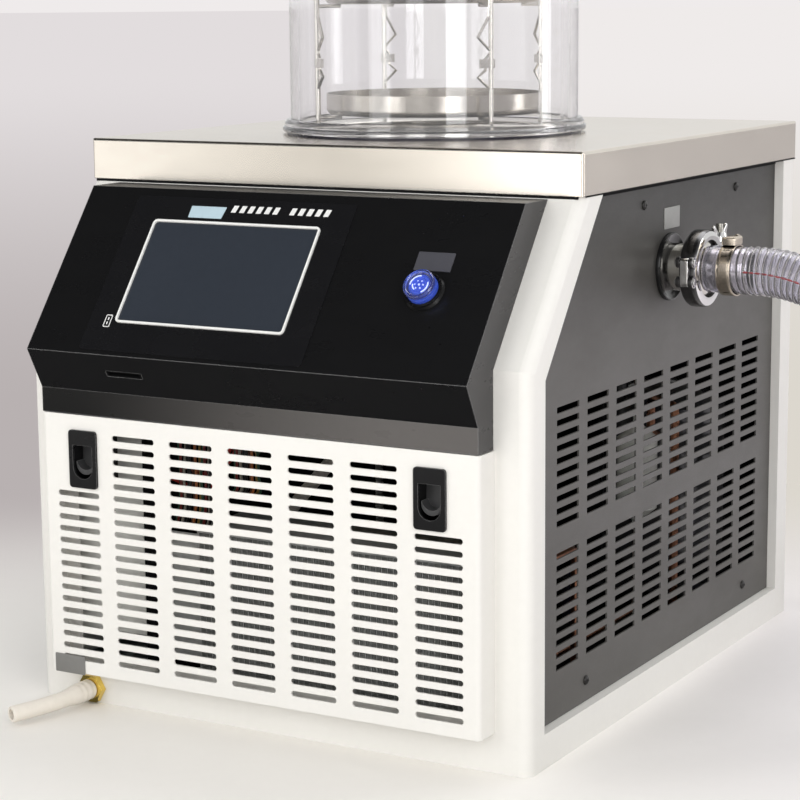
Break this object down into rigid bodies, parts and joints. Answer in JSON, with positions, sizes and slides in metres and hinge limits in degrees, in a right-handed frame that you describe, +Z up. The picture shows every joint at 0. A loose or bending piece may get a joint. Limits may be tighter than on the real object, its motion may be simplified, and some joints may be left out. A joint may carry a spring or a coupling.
{
  "type": "freeze dryer",
  "caption": "Benchtop freeze dryer: vented cabinet with sloping touch console, steel top with cold trap, clear drum over a wire tray rack, and a clamped vacuum hose on the right.",
  "frame": {"origin": "centre of the underside of the cabinet, on the bench", "axes": "+X to the operator's right, +Y to the back, +Z up"},
  "size_m": [0.7823, 0.7285, 0.914],
  "materials": {
    "white_paint": "satin",
    "panel_grey": "satin",
    "satin_black": "satin",
    "galvanised": "satin",
    "stainless": "brushed",
    "screw_steel": "satin",
    "black_plastic": "fine grain",
    "overlay_film": "satin",
    "white_plastic": "satin",
    "screen_glass": "gloss",
    "blue_lens": "gloss",
    "clear_acrylic": "polished",
    "copper": "drawn",
    "brass": "turned",
    "foam": "matt",
    "silicone": "matt",
    "dark_rubber": "matt",
    "compressor_black": "gloss",
    "aluminium_fins": "mill",
    "white_enamel": "gloss",
    "hose_pvc": "gloss",
    "wire_insulation": "satin"
  },
  "bodies": {
    "cabinet": {"cabinet_frame": "white_paint", "base_pan": "galvanised", "left_side_panel": "panel_grey", "right_side_panel": "panel_grey", "side_panel_screws": "screw_steel", "rear_panel": "white_paint", "rear_panel_screws": "screw_steel", "front_cover": "white_paint", "latch_housing_left": "black_plastic", "latch_housing_right": "black_plastic", "console_cover": "satin_black", "console_overlay": "overlay_film", "screen_bezel": "white_plastic", "touch_screen": "screen_glass", "lamp_bezel": "black_plastic", "lamp_lens": "blue_lens", "usb_socket": "black_plastic", "electrical_box": "galvanised", "mains_inlet": "black_plastic", "wiring_loom": "wire_insulation", "steel_top": "stainless", "cold_trap": "stainless", "trap_floor": "stainless", "trap_coil": "stainless", "trap_insulation": "foam", "drain_line": "silicone", "seal_ring": "dark_rubber", "drum_flange": "clear_acrylic", "drum_tube": "clear_acrylic", "drum_top": "clear_acrylic", "rack_rings": "stainless", "rack_posts": "stainless", "tray_1": "stainless", "tray_2": "stainless", "tray_3": "stainless", "tray_4": "stainless", "condenser_coil": "aluminium_fins", "fan_shroud": "galvanised", "fan_motor": "compressor_black", "compressor": "compressor_black", "compressor_mounts": "dark_rubber", "refrigerant_lines": "copper", "filter_drier": "white_enamel", "port_flange": "black_plastic", "port_pipe": "stainless", "centering_ring": "stainless", "clamp_upper": "stainless", "clamp_lower": "stainless", "clamp_link": "stainless", "clamp_bolt": "screw_steel", "hose_adapter": "stainless", "hose_band": "screw_steel", "vacuum_hose": "hose_pvc", "hose_end_fitting": "stainless", "drain_fitting": "brass", "drain_tube": "silicone"},
    "left_latch": {"latch_slide_left": "black_plastic"},
    "right_latch": {"latch_slide_right": "black_plastic"},
    "fan": {"fan_rotor": "black_plastic"},
    "wing_nut": {"wing_nut": "screw_steel"}
  },
  "joints": [
    {"name": "left_latch_slide", "type": "slide", "parent": "cabinet", "child": "left_latch", "axis": [0, 0, -1], "range_m": [0, 0.006], "stiffness_N_per_m": 400, "springref_m": -0.004},
    {"name": "right_latch_slide", "type": "slide", "parent": "cabinet", "child": "right_latch", "axis": [0, 0, -1], "range_m": [0, 0.006], "stiffness_N_per_m": 400, "springref_m": -0.004},
    {"name": "fan_spin", "type": "hinge", "parent": "cabinet", "child": "fan", "pos_m": [0.0525, -0.2075, 0.096], "axis": [0, 1, 0], "continuous": true},
    {"name": "wing_nut_turn", "type": "hinge", "parent": "cabinet", "child": "wing_nut", "pos_m": [0.256, 0.0375, 0.388], "axis": [0, 0, 1], "continuous": true}
  ]
}
